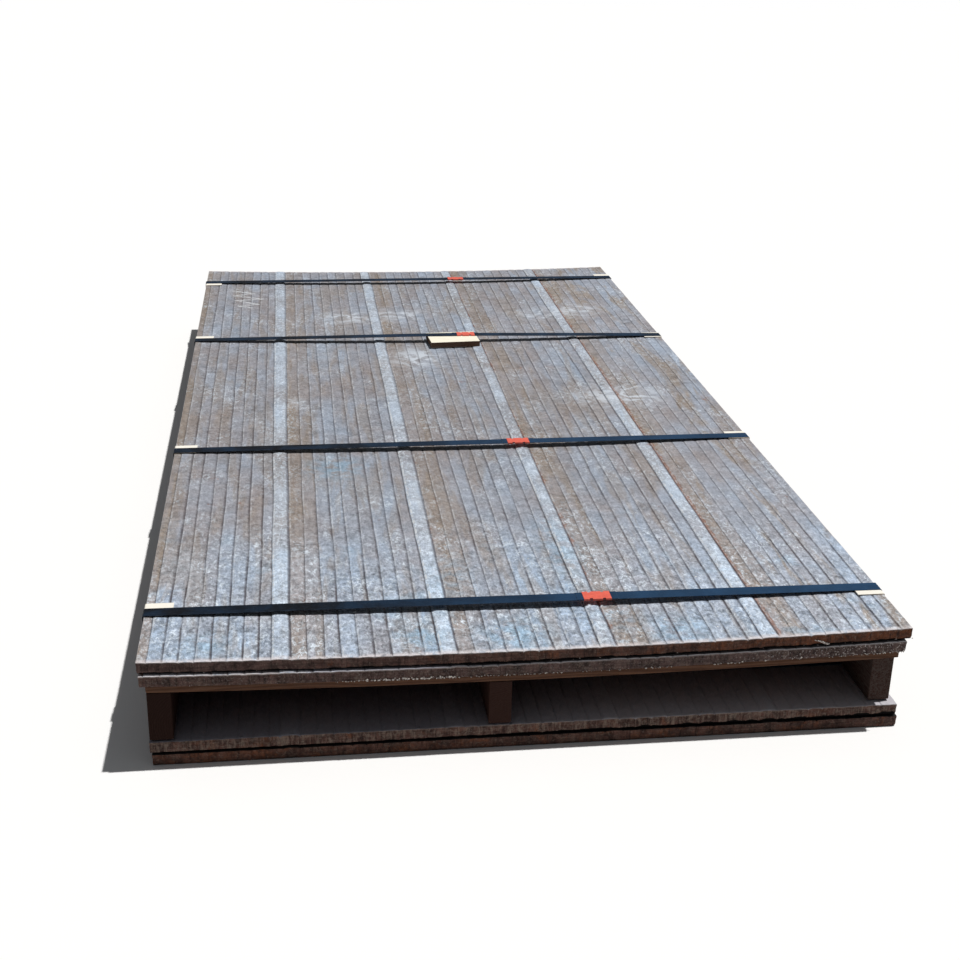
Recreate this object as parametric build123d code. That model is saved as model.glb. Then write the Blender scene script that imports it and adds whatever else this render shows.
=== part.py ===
from build123d import *
import os
from math import atan2, degrees

# A strapped lift of two overlay wear plates on a timber pallet, standing on two more such plates.
# Millimetres. Origin: on the floor, under the middle of the top plate.
# X runs along the front edge, Y from the front to the back, Z up.

# Wear plate: a steel base under weld beads that run side by side from front to back, all one piece.
# The beads come in torch groups; the last bead of a group overlaps its neighbour and stands higher.
# The shrinking welds pulled the two upper plates hollow across the beads, and the deck follows them.
plate_width = 1500.0
plate_length = 3000.0
plate_thickness = 24.0
plate_hollow = 11.0
bead_pitch = 31.0
bead_crown = 1.2
closing_bead_rise = 2.5
first_bead_trim = 12.0
torch_spans = (284.0, 316.0, 307.0, 323.0)

# How far each lower plate's edges lie inside the top plate's edges: left, right, front, back.
# The second plate stands out past the top one at the front.
top_plate_inset = (0.0, 0.0, 0.0, 0.0)
second_plate_inset = (3.0, 10.0, -4.0, 6.0)
third_plate_inset = (13.0, 8.0, 3.0, 6.0)
bottom_plate_inset = (17.0, 6.0, 1.0, 4.0)

# Timber pallet: three bearers on edge carry thin deck boards laid across them.
# The opening for the forks is measured at the deck boards' ends; each bearer is as high as it finds the deck.
bearer_width = 46.0
opening_height = 104.0
bearer_edge_radius = 1.5
middle_bearer_from_left = 682.0
left_bearer_setback = 4.0
middle_bearer_setback = 2.0
right_bearer_setback = 17.0
bearer_back_setback = 8.0
deck_thickness = 15.0
deck_board_width = 95.0
deck_board_count = 9
deck_left_inset = 14.0
deck_right_inset = 20.0
deck_end_setback = 1.0

# Steel strap, and the crimped seal that closes it over its doubled end.
strap_width = 32.0
strap_thickness = 0.9
strap_corner_radius = 2.0
seal_length = 57.0
seal_thickness = 0.9
seal_seam_gap = 1.4
notch_depth = 4.0
notch_width = 6.0
notch_spacing = 27.0
strap_tail_past_seal = 14.0

# Board angles that keep the straps off the plate's edges.
guard_top_leg = 57.0
guard_side_leg = 45.0
guard_width = 50.0
guard_thickness = 2.0
guard_bend_radius = 3.0

# Loose wood block under the third strap.
block_length = 157.0
block_depth = 110.0
block_height = 18.0
block_from_left = 815.0
block_from_back = 962.0
block_turn = 4.0
block_edge_radius = 1.0

# Gaps between pieces that press on each other.
seat_gap = 0.1
strap_clearance = 0.4
seal_clearance = 0.15

# Where each strap crosses the left and the right edge, measured from the nearer end of the plate,
# how far it bows up above the plate's edges, where its seal sits, and how far its guards are shifted along Y.
first_strap = {"from": "front", "left": 196.0, "right": 181.0, "bow": 0.5, "seal": 903.0,
               "left_guard": 15.0, "right_guard": -8.0}
second_strap = {"from": "front", "left": 1090.0, "right": 1094.0, "bow": 0.5, "seal": 881.0,
                "left_guard": 12.0, "right_guard": 8.0}
third_strap = {"from": "back", "left": 924.0, "right": 950.0, "bow": 0.0, "seal": 859.0,
               "left_guard": 18.0, "right_guard": 2.0}
fourth_strap = {"from": "back", "left": 186.0, "right": 174.0, "bow": 0.5, "seal": 912.0,
                "left_guard": -14.0, "right_guard": 18.0}

# Heights of the layers, from the floor up, measured at the side edges, where nothing sags.
plate_step = plate_thickness + closing_bead_rise + seat_gap
third_plate_z = plate_step
strap_floor_z = third_plate_z + plate_step
bearer_z = strap_floor_z + strap_thickness + seat_gap
deck_z = bearer_z + opening_height
second_plate_z = deck_z + deck_thickness + seat_gap
top_plate_z = second_plate_z + plate_step
crown_z = top_plate_z + plate_thickness
guard_z = crown_z + seat_gap

# Outside lines that the pieces share.
left_edge = -plate_width / 2
right_edge = plate_width / 2
front_edge = -plate_length / 2
back_edge = plate_length / 2
deck_left = left_edge + deck_left_inset
deck_right = right_edge - deck_right_inset


def sag(x):
    """How far the hollow plates and the deck lie below their side edges, at a distance from the middle."""
    return -plate_hollow * (1 - (2 * x / plate_width) ** 2)


def bead_seams(width):
    """Each bead across a plate as its two seams and its rise, from just outside the left edge."""
    beads = []
    start = -first_bead_trim
    group_end = 0.0
    for span in torch_spans:
        group_end += span
        count = round((group_end - start) / bead_pitch)
        pitch = (group_end - start) / count
        for i in range(count):
            closing = closing_bead_rise if i == count - 1 else 0.0
            beads.append((start + i * pitch, start + (i + 1) * pitch, bead_crown + closing))
        start = group_end
    while start < width:
        beads.append((start, start + bead_pitch, bead_crown))
        start += bead_pitch
    return beads


def wear_plate(inset, z, turned, hollow):
    """A plate with its weld beads, turned end for end and hollow across the beads where asked."""
    left, right, front, back = inset
    width = plate_width - left - right
    length = plate_length - front - back
    seam_z = plate_thickness - bead_crown
    beads = bead_seams(width)
    if turned:
        beads = [(width - x1, width - x0, rise) for x0, x1, rise in reversed(beads)]
    row_start = beads[0][0]
    row_end = beads[-1][1]

    def place(x, height):
        middle_x = x - width / 2 + (left - right) / 2
        return (middle_x, height + (sag(middle_x) if hollow else 0.0))

    with BuildPart() as plate:
        with BuildSketch(Plane.XZ):
            with BuildLine():
                for x0, x1, rise in beads:
                    ThreePointArc(place(x0, seam_z), place((x0 + x1) / 2, seam_z + rise), place(x1, seam_z))
                Line(place(row_end, seam_z), place(row_end, 0))
                if hollow:
                    ThreePointArc(place(row_end, 0), place(width / 2, 0), place(row_start, 0))
                else:
                    Line(place(row_end, 0), place(row_start, 0))
                Line(place(row_start, 0), place(row_start, seam_z))
            make_face()
            with Locations(((left - right) / 2, 0)):
                Rectangle(width, 4 * plate_thickness, mode=Mode.INTERSECT)
        extrude(amount=length / 2, both=True)
    return Pos(0, (front - back) / 2, z) * plate.part


def bearer(x_middle, front_setback):
    """A timber on edge, up to the deck where it sags most over it, with its own front setback."""
    length = plate_length - front_setback - bearer_back_setback
    deck_sag = min(sag(x_middle - bearer_width / 2), sag(x_middle + bearer_width / 2))
    height = opening_height + deck_sag - seat_gap
    with BuildPart() as timber:
        with BuildSketch(Plane.XZ):
            RectangleRounded(bearer_width, height, bearer_edge_radius)
        extrude(amount=length / 2, both=True)
    y_middle = (front_setback - bearer_back_setback) / 2
    return Pos(x_middle, y_middle, bearer_z + height / 2) * timber.part


def deck_board(index):
    """One of the thin boards that lie across the bearers, evenly spread from front to back."""
    run = plate_length - 2 * deck_end_setback - deck_board_width
    y = -run / 2 + index * run / (deck_board_count - 1)
    middle_x = (deck_left + deck_right) / 2
    with BuildPart() as board:
        with BuildSketch(Plane.XZ):
            with BuildLine():
                ThreePointArc(*((x, sag(x)) for x in (deck_left, middle_x, deck_right)))
                Line((deck_right, sag(deck_right)), (deck_right, sag(deck_right) + deck_thickness))
                ThreePointArc(*((x, sag(x) + deck_thickness) for x in (deck_right, middle_x, deck_left)))
                Line((deck_left, sag(deck_left) + deck_thickness), (deck_left, sag(deck_left)))
            make_face()
        extrude(amount=deck_board_width / 2, both=True)
    return Pos(0, y, deck_z) * board.part


def strap_line(strap, end):
    """Distance along Y, from the origin, at which a strap crosses the left or right edge."""
    if strap["from"] == "front":
        return front_edge + strap[end]
    return back_edge - strap[end]


def strap_place(strap):
    """Where a strap's own square frame stands: its middle along Y and its slight turn."""
    y_left = strap_line(strap, "left")
    y_right = strap_line(strap, "right")
    turn = degrees(atan2(y_right - y_left, plate_width))
    return Pos(0, (y_left + y_right) / 2, 0) * Rot(0, 0, turn)


def strap_inside(strap):
    """The face that a strap closes round: guards and bowed top run, plate sides, bearers' undersides."""
    side = plate_width / 2 + seat_gap + guard_thickness + strap_clearance
    top = guard_z + guard_thickness + strap_clearance
    guard_foot = guard_z + guard_thickness - guard_side_leg
    foot_left = deck_left - strap_clearance
    foot_right = deck_right + strap_clearance
    foot_z = bearer_z - seat_gap
    with BuildSketch() as inside:
        with BuildLine():
            if strap is third_strap:
                Polyline(*((-side, top), *block_crossing(), (side, top)))
            else:
                ThreePointArc((-side, top), (0, top + strap["bow"]), (side, top))
            Polyline((side, top), (side, guard_foot), (foot_right, foot_z), (foot_left, foot_z),
                     (-side, guard_foot), (-side, top))
        make_face()
        upper = inside.vertices().filter_by(lambda v: abs(abs(v.X) - side) < 1e-3 and v.Y > guard_foot + 1)
        fillet(upper, guard_bend_radius + strap_clearance)
        lower = inside.vertices().filter_by(lambda v: v.Y < foot_z + 1e-3)
        fillet(lower, strap_corner_radius)
    return inside.sketch


def block_crossing():
    """Points of the third strap over the wood block: its corner, the seal's ends, its far corner."""
    block_left = left_edge + block_from_left - block_length / 2
    block_right = block_left + block_length
    block_top = block_underside() + block_height
    seal_left = left_edge + third_strap["seal"] - seal_length / 2
    seal_right = seal_left + seal_length
    on_wood = block_top + strap_clearance
    on_seal = block_top + seat_gap + seal_thickness + seal_clearance
    return ((block_left, on_wood), (seal_left, on_seal), (seal_right, on_seal), (block_right, on_wood))


def band(inside, inner, outer, width, x_range=None):
    """A band round the inside face, from one distance outside it to another, cut to an X range."""
    outer_face = offset(inside, amount=outer) if outer else inside
    inner_face = offset(inside, amount=inner) if inner else inside
    ring = outer_face - inner_face
    if x_range:
        x0, x1 = x_range
        ring &= Pos((x0 + x1) / 2, crown_z) * Rectangle(x1 - x0, 4 * guard_side_leg)
    return extrude(Plane.XZ * ring, amount=width / 2, both=True)


def notches(strap):
    """Cutters for the crimp: two notches in each long side of the seal, right through."""
    x = left_edge + strap["seal"]
    half_width = strap_width / 2 + seal_clearance + seal_thickness
    cutter = Box(notch_width, 2 * notch_depth, 4 * guard_side_leg)
    places = GridLocations(notch_spacing, 2 * half_width, 2, 2)
    return [Pos(x, 0, crown_z) * place * cutter for place in places]


def strap_and_seal(strap):
    """One strap with its doubled end, and the sleeve folded round both layers and notched."""
    inside = strap_inside(strap)
    seal_left = left_edge + strap["seal"] - seal_length / 2
    seal_right = seal_left + seal_length
    tail = (seal_left - strap_tail_past_seal, seal_right + strap_tail_past_seal)
    loop = band(inside, 0, strap_thickness, strap_width)
    loop += band(inside, strap_thickness, 2 * strap_thickness, strap_width, tail)
    doubled = 2 * strap_thickness
    sleeve = band(inside, -seal_clearance - seal_thickness, doubled + seal_clearance + seal_thickness,
                  strap_width + 2 * (seal_clearance + seal_thickness), (seal_left, seal_right))
    sleeve -= band(inside, -seal_clearance, doubled + seal_clearance,
                   strap_width + 2 * seal_clearance, (seal_left - 1, seal_right + 1))
    sleeve -= band(inside, -seal_clearance - 2 * seal_thickness, 0, seal_seam_gap,
                   (seal_left - 1, seal_right + 1))
    for cutter in notches(strap):
        loop -= cutter
        sleeve -= cutter
    place = strap_place(strap)
    return place * loop, place * sleeve


def edge_guard(strap, end):
    """A board angle hooked over the plate's edge under the strap."""
    outward = seat_gap + guard_thickness
    with BuildPart() as angle:
        with BuildSketch(Plane.XZ):
            with Locations((-outward, outward)):
                Rectangle(guard_top_leg, guard_side_leg, align=(Align.MIN, Align.MAX))
            with Locations((-seat_gap, seat_gap)):
                Rectangle(guard_top_leg, guard_side_leg, align=(Align.MIN, Align.MAX), mode=Mode.SUBTRACT)
        extrude(amount=guard_width / 2, both=True)
        bend = angle.edges().filter_by(Axis.Y).sort_by(lambda e: e.center().X - e.center().Z)[0]
        fillet(bend, guard_bend_radius)
    y = strap_line(strap, end) + strap[end + "_guard"]
    if end == "left":
        return Pos(left_edge, y, crown_z) * angle.part
    return Pos(right_edge, y, crown_z) * Rot(0, 0, 180) * angle.part


def block_underside():
    """The block lies on the closing bead under its right end."""
    closing_bead_x = left_edge + sum(torch_spans[:3]) - bead_pitch / 2
    return crown_z + sag(closing_bead_x) + closing_bead_rise + seat_gap


def packing_block():
    """The loose wood block, a little turned on the plate."""
    block = Box(block_length, block_depth, block_height)
    block = fillet(block.edges(), block_edge_radius)
    x = left_edge + block_from_left
    y = back_edge - block_from_back
    return Pos(x, y, block_underside() + block_height / 2) * Rot(0, 0, block_turn) * block


def build_nodes():
    """Every piece under its own name."""
    nodes = {
        "wear_plate_1": wear_plate(top_plate_inset, top_plate_z, turned=False, hollow=True),
        "wear_plate_2": wear_plate(second_plate_inset, second_plate_z, turned=True, hollow=True),
        "wear_plate_3": wear_plate(third_plate_inset, third_plate_z, turned=False, hollow=False),
        "wear_plate_4": wear_plate(bottom_plate_inset, 0, turned=True, hollow=False),
        "bearer_left": bearer(deck_left + bearer_width / 2, left_bearer_setback),
        "bearer_middle": bearer(left_edge + middle_bearer_from_left, middle_bearer_setback),
        "bearer_right": bearer(deck_right - bearer_width / 2, right_bearer_setback),
        "packing_block": packing_block(),
    }
    for index in range(deck_board_count):
        nodes[f"deck_board_{index + 1}"] = deck_board(index)
    for number, strap in enumerate((first_strap, second_strap, third_strap, fourth_strap), 1):
        nodes[f"strap_{number}"], nodes[f"strap_seal_{number}"] = strap_and_seal(strap)
        nodes[f"edge_guard_{number}_left"] = edge_guard(strap, "left")
        nodes[f"edge_guard_{number}_right"] = edge_guard(strap, "right")
    return nodes


os.makedirs("parts", exist_ok=True)
for name, shape in build_nodes().items():
    export_step(shape, f"parts/{name}.step")
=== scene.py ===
import math
import random

import bmesh
import bpy
import numpy as np
from mathutils import Matrix, Vector, noise


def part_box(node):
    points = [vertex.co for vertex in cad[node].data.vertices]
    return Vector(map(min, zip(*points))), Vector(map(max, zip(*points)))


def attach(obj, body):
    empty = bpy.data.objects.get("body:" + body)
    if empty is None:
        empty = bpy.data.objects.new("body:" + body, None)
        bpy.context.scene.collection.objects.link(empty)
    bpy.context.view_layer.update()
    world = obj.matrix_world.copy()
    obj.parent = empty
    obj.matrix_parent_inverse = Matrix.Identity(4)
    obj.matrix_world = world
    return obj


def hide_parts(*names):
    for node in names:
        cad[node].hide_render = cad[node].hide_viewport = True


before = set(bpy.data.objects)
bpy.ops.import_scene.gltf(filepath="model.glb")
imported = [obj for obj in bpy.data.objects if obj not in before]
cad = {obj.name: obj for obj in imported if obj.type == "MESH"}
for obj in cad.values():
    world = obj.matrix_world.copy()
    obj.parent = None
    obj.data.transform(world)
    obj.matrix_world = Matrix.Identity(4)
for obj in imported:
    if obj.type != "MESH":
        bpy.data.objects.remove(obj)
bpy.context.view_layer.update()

# Camera, from the top plate's front left corner, in metres and degrees.
CAMERA_FROM_CORNER = Vector((0.305, -2.371, 1.311))
CAMERA_PITCH_DOWN = 22.03
CAMERA_YAW_RIGHT = 7.86
CAMERA_ROLL = 1.25
FOCAL_PIXELS = 1431
PHOTO_SIDE_PIXELS = 960
SENSOR_MM = 36
TO_KEY_LIGHT = (0.34, 0.05, 1.0)
SKY_BLUISH = (0.93, 0.965, 1.0, 1.0)
DOME_LOW = 0.04
DOME_HIGH = 0.19
MIRRORED_SKY = 0.3
KEY_STRENGTH = 3.1
FLOOR_BOUNCE = 0.58
FLOOR_SEEN = 0.97

# Weld beads of a plate, in metres: the same spacing as the steel itself.
BEAD_PITCH = 0.031
BEAD_CROWN = 0.0012
CLOSING_RISE = 0.0025
FIRST_BEAD_TRIM = 0.012
CLOSING_LAPS = (0.008, 0.004, 0.003, 0.003)
TORCH_SPANS = (0.284, 0.316, 0.307, 0.323)
PLATE_WIDTH = 1.5
PLATE_THICKNESS = 0.024
PLATE_HOLLOW = 0.011
DECK_THICKNESS = 0.015

# Where the looks change over the stack, in metres from its middle: from and to, and the values there.
FRONT_ZONE = (-0.7, -1.4)
REAR_TO_FRONT_LEVEL = (-0.4, -1.4, 0.97, 1.14)
RIGHT_LEVEL = (0.1, 0.75, 0.0, 0.12)
BROWN_RIGHT_ZONE = (0.44, 0.5)
FADED_RIGHT_ZONE = (0.46, 0.5)
SEAM_DARKNESS = (0.4, -0.7, 0.44, 0.6)
# Dust and painted shade on the lower plates: where they change from left to right, and from the front to deep
# inside.
DUST_AND_SHADE_LEFT_TO_RIGHT = (-0.25, 0.3)
PAINTED_SHADE_FRONT_TO_DEEP = (-1.47, -1.1)
# How much painted shade darkens the strap toward its left and its rear.
STRAP_PAINTED_SHADE_LEFT = (0.4, -0.45, 0.0, 0.7)
STRAP_PAINTED_SHADE_REAR = (-1.0, 0.9, 0.0, 0.6)
# Down a flame-cut side, in metres below its rim: where the painted highlight of the lip ends and where the
# painted shade of the gap starts.
LIP_HIGHLIGHT_DROP = (0.0026, 0.0009)
PAINTED_GAP_SHADE_DROP = (0.0233, 0.0242)

# Marks on the top plate, in metres from its front left corner: place, reach across and along, strength.
SCUFFS = (
    (0.49, 2.363, 0.10, 0.09, 0.8), (0.675, 2.383, 0.10, 0.08, 0.7), (0.686, 1.884, 0.09, 0.12, 0.8),
    (1.191, 2.366, 0.15, 0.09, 0.6), (1.291, 2.393, 0.10, 0.08, 0.7), (1.198, 1.46, 0.10, 0.10, 0.7),
    (1.282, 1.467, 0.09, 0.10, 0.8), (0.306, 1.478, 0.03, 0.05, 0.8), (0.405, 1.905, 0.03, 0.05, 0.7))
BLUE_PATCHES = (
    (0.123, 0.063, 0.05, 0.05, 0.9), (0.532, 0.078, 0.06, 0.07, 1.0), (0.716, 0.063, 0.08, 0.08, 1.0),
    (1.037, 0.052, 0.07, 0.07, 0.8), (0.40, 0.97, 0.08, 0.09, 1.0), (0.875, 0.443, 0.05, 0.2, 0.7),
    (0.62, 0.33, 0.05, 0.12, 0.6), (0.93, 0.12, 0.06, 0.08, 0.6))
# Frozen dross along a front edge, in metres from the left: from, to, drops, size.
DROSS_TOP = ((0.2, 0.6, 4, 0.7), (0.7, 1.2, 6, 0.7), (1.25, 1.49, 6, 0.9))
DROSS_SECOND = (
    (0.087, 0.095, 2, 1.2), (0.36, 0.42, 14, 1.0), (0.42, 0.60, 74, 1.5), (0.62, 0.80, 46, 1.1),
    (0.84, 0.93, 14, 0.8), (0.955, 1.01, 14, 1.2), (1.10, 1.165, 12, 1.2), (1.198, 1.206, 3, 1.4),
    (1.26, 1.28, 5, 1.4), (1.33, 1.40, 12, 1.0), (1.40, 1.485, 26, 1.2))
SPLASH_FROM_LEFT = 1.302
SPLASH_BELOW_RIM = 0.0125
SPLASH_DROPS = 22
SPLASH_RUN = 0.026
SPLASH_FALL = 0.009
DROSS_RADIUS = (0.0006, 0.0014)
DROSS_CLIMB = 0.0024
DROSS_DEPTH = 0.0014
DROSS_SUNK = 0.0002
SINGLE_DROP = (0.0008, 0.0018)
SINGLE_SUNK = 0.0008
# A loose chalk zigzag on the top plate, from turn to turn, measured as the marks are.
CHALK_TURNS = ((0.098, 2.705), (0.172, 2.672), (0.104, 2.640), (0.204, 2.598),
               (0.110, 2.575), (0.190, 2.528), (0.124, 2.500), (0.166, 2.482))
CHALK_HALF_WIDTH = 0.006


def srgb(r, g, b):
    """A colour written as 0 to 255 values, in linear light."""
    def linear(v):
        v /= 255
        return v / 12.92 if v <= 0.04045 else ((v + 0.055) / 1.055) ** 2.4
    return (linear(r), linear(g), linear(b), 1.0)


def even_grey(level):
    """An even grey, in linear light."""
    return (level, level, level, 1.0)


# Colours
BEAD_TAUPE = srgb(150, 144, 146)
BEAD_BLUE = srgb(150, 166, 186)
BEAD_BROWN = srgb(144, 131, 119)
BEAD_CLOSING = srgb(184, 198, 214)
BEAD_PALE = srgb(206, 216, 226)
TEMPER_BLUE = srgb(144, 182, 210)
SEAM_BROWN = srgb(64, 52, 54)
RUST_DARK = srgb(104, 62, 42)
RUST_ORANGE = srgb(160, 98, 62)
# Painted white glints.
GLINT_HIGHLIGHT_WHITE = srgb(240, 244, 248)
SCUFF_PALE = srgb(216, 224, 234)
# Painted highlight along the front rim of the top plate.
RIM_HIGHLIGHT_PINK = srgb(240, 232, 234)
# Painted highlight on the beads' raised lips.
LIP_HIGHLIGHT_BRIGHT = srgb(222, 226, 230)
CUT_BROWN = srgb(112, 92, 90)
CUT_RED = srgb(130, 86, 68)
# Painted highlight for the top lip and the pale specks of the flame-cut sides.
CUT_LIP_HIGHLIGHT = srgb(226, 216, 212)
CUT_SOOT = srgb(42, 34, 34)
# Near-black painted shade for the gaps between plates.
PAINTED_GAP_SHADE = srgb(10, 7, 7)
# Dust on the lower plates, and the painted dark shade deep inside the opening between the bearers.
DUST_AND_SHADE_LEFT = srgb(150, 148, 158)
DUST_AND_SHADE_RIGHT = srgb(198, 194, 200)
PAINTED_DEEP_SHADE = srgb(74, 54, 48)
CUT_TAN = srgb(152, 134, 122)
MILL_SCALE = srgb(70, 72, 80)
MILL_SCALE_WORN = srgb(92, 88, 88)
# Pale dross, partly a painted highlight.
DROSS_PALE_HIGHLIGHT = srgb(220, 213, 206)
BEARER_DARK = srgb(56, 34, 28)
BEARER_LIGHT = srgb(88, 60, 50)
DECK_DARK = srgb(92, 62, 46)
DECK_LIGHT = srgb(128, 92, 70)
BLOCK_DARK = srgb(255, 246, 220)
BLOCK_LIGHT = srgb(255, 254, 246)
STRAP_NAVY = srgb(34, 66, 98)
STRAP_BLACK = srgb(5, 8, 16)
STRAP_SCRATCHED = srgb(96, 112, 134)
STRAP_RUBBED = srgb(120, 128, 140)
SEAL_CORAL = srgb(238, 106, 86)
SEAL_DEEP = srgb(198, 74, 60)
SEAL_STEEL = srgb(92, 84, 84)
BOARD_CREAM = srgb(254, 250, 240)
BOARD_SOILED = srgb(228, 214, 190)
BOARD_CORE = srgb(208, 186, 152)
PAINT_WHITE = srgb(226, 230, 234)
# Painted shade for the upright sides of the block.
PAINTED_SIDE_SHADE = srgb(88, 50, 24)
WOOD_PORE = srgb(30, 20, 15)
WOOD_GREYED = srgb(104, 98, 94)


class Wire:
    """A shader node's output. Arithmetic with it adds Math nodes, so a material reads like a sum."""

    def __init__(self, socket):
        self.socket = socket
        self.tree = socket.id_data

    def __add__(self, other):
        return calc("ADD", self, other)

    def __radd__(self, other):
        return calc("ADD", other, self)

    def __sub__(self, other):
        return calc("SUBTRACT", self, other)

    def __rsub__(self, other):
        return calc("SUBTRACT", other, self)

    def __mul__(self, other):
        return calc("MULTIPLY", self, other)

    def __truediv__(self, other):
        return calc("DIVIDE", self, other)

    def __pow__(self, other):
        return calc("POWER", self, other)

    def __abs__(self):
        return calc("ABSOLUTE", self)


def feed(socket, value):
    """Links a wire to a socket, or writes a constant on it."""
    if isinstance(value, Wire):
        value.tree.links.new(value.socket, socket)
    else:
        socket.default_value = value


def add_node(tree, kind, inputs, **settings):
    """Adds a shader node, sets its properties, feeds its inputs and returns all its outputs by name."""
    made = tree.nodes.new(kind)
    for key, value in settings.items():
        setattr(made, key, value)
    for key, value in inputs.items():
        feed(made.inputs[key], value)
    return {socket.name: Wire(socket) for socket in made.outputs}


def tree_of(*values):
    """The node tree of the first wire among some values."""
    return next(value.tree for value in values if isinstance(value, Wire))


def calc(operation, a, b=0.0):
    """One Math node."""
    return add_node(tree_of(a, b), "ShaderNodeMath", {0: a, 1: b}, operation=operation)["Value"]


def clamped(value):
    """The result of a Math node, kept between 0 and 1."""
    value.socket.node.use_clamp = True
    return value


def larger(a, b):
    """The larger of two values."""
    return calc("MAXIMUM", a, b)


def blend_colour(share, a, b, how="MIX"):
    """Mixes colour b over a by share."""
    made = tree_of(share, a, b).nodes.new("ShaderNodeMix")
    made.data_type, made.blend_type, made.clamp_factor = "RGBA", how, True
    for socket, value in zip((made.inputs["Factor"], made.inputs[6], made.inputs[7]), (share, a, b)):
        feed(socket, value)
    return Wire(made.outputs[2])


def step(value, low, high, out_low=0.0, out_high=1.0):
    """A smooth step of value from low to high."""
    inputs = dict(enumerate((value, low, high, out_low, out_high)))
    kind = "ShaderNodeMapRange"
    return add_node(value.tree, kind, inputs, interpolation_type="SMOOTHSTEP", clamp=True)["Result"]


def vector_calc(operation, a, b):
    """One Vector Math node."""
    made = add_node(tree_of(a, b), "ShaderNodeVectorMath", {0: a, 1: b}, operation=operation)
    return made["Value" if operation in ("DOT_PRODUCT", "DISTANCE") else "Vector"]


def stretch(vector, factors):
    """A vector scaled by three factors."""
    return vector_calc("MULTIPLY", vector, factors)


def combine(x, y, z=0.0):
    """A vector made of three parts."""
    return add_node(tree_of(x, y, z), "ShaderNodeCombineXYZ", {0: x, 1: y, 2: z})["Vector"]


def axis_parts(vector):
    """The three parts of a vector."""
    return tuple(add_node(vector.tree, "ShaderNodeSeparateXYZ", {0: vector}).values())


def cloud(vector, scale, detail=3.0, roughness=0.55, distortion=0.0):
    """Fractal noise from 0 to 1."""
    inputs = {"Vector": vector, "Scale": scale, "Detail": detail, "Roughness": roughness,
              "Distortion": distortion}
    return add_node(vector.tree, "ShaderNodeTexNoise", inputs)["Fac"]


def cells(vector, scale):
    """Distance to the nearest of scattered points, and a random value for each."""
    made = add_node(vector.tree, "ShaderNodeTexVoronoi", {"Vector": vector, "Scale": scale})
    return made["Distance"], add_node(vector.tree, "ShaderNodeSeparateColor", {0: made["Color"]})["Red"]


def new_group(name, inputs, outputs):
    """An empty node group with named sockets; returns its tree, its inputs and where its outputs go."""
    tree = bpy.data.node_groups.new(name, "ShaderNodeTree")
    for socket_name, kind, default in inputs:
        made = tree.interface.new_socket(name=socket_name, in_out="INPUT", socket_type=kind)
        if default is not None:
            made.default_value = default
    for socket_name, kind in outputs:
        tree.interface.new_socket(name=socket_name, in_out="OUTPUT", socket_type=kind)
    return tree, add_node(tree, "NodeGroupInput", {}), tree.nodes.new("NodeGroupOutput").inputs


def use_group(group, vector, **values):
    """Places a group that works on a vector; underscores in the names stand for spaces."""
    inputs = {key.replace("_", " "): value for key, value in values.items()}
    return add_node(vector.tree, "ShaderNodeGroup", {"Vector": vector, **inputs}, node_tree=group)


FLOAT, VECTOR, COLOUR = "NodeSocketFloat", "NodeSocketVector", "NodeSocketColor"


def mottle_group():
    """Blotches at a coarse and a fine scale together, for any surface that isn't one even tone."""
    tree, given, out = new_group(
        "mottle", [("Vector", VECTOR, None), ("Coarse", FLOAT, 6.0), ("Fine", FLOAT, 90.0)],
        [("Blotch", FLOAT), ("Speckle", FLOAT)])
    blotch = cloud(given["Vector"], given["Coarse"], 4, 0.6, 0.4)
    speckle = cloud(given["Vector"], given["Fine"], 3, 0.7)
    feed(out["Blotch"], step(blotch, 0.34, 0.66))
    feed(out["Speckle"], step(speckle, 0.3, 0.7))
    return tree


def rust_group():
    """Rust in blooms: where it lies, and its own changing colour."""
    tree, given, out = new_group(
        "rust_bloom", [("Vector", VECTOR, None), ("Size", FLOAT, 14.0), ("Amount", FLOAT, 0.3)],
        [("Mask", FLOAT), ("Colour", COLOUR)])
    bloom = cloud(given["Vector"], given["Size"], 6, 0.68, 0.8)
    edge = 0.82 - given["Amount"] * 0.5
    feed(out["Mask"], step(bloom, edge - 0.16, edge))
    tone = cloud(given["Vector"], given["Size"] * 6, 3)
    feed(out["Colour"], blend_colour(step(tone, 0.35, 0.65), RUST_DARK, RUST_ORANGE))
    return tree


def ripple_group():
    """Frozen ripples of a weld bead: crescents across its run, uneven and strong only in places."""
    tree, given, out = new_group(
        "weld_ripple",
        [("Run", FLOAT, 0.0), ("Share", FLOAT, 0.5), ("Vector", VECTOR, None), ("Fineness", FLOAT, 80.0)],
        [("Height", FLOAT), ("Shade", FLOAT)])
    off_middle = given["Share"] * 2.0 - 1.0
    crescent = off_middle ** 2.0 * 0.008
    sideways = axis_parts(given["Vector"])[0] * 0.22
    curved = combine(sideways, given["Run"] + crescent)
    streak = step(cloud(curved, given["Fineness"], 3, 0.6, 0.3), 0.36, 0.64)
    patchy = step(cloud(given["Vector"], 7, 3), 0.42, 0.62, 0.12, 0.9)
    rough = cloud(given["Vector"], 240, 4, 0.72)
    swell = step(cloud(curved, given["Fineness"] * 0.42, 2, 0.5, 0.8), 0.38, 0.62)
    wavy = step(cloud(given["Vector"], 4.5, 3), 0.46, 0.6)
    fine = (streak - 0.5) * patchy
    coarse = (swell - 0.5) * wavy
    feed(out["Shade"], fine + coarse)
    feed(out["Height"], streak * patchy + rough * 0.8)
    return tree


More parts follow.
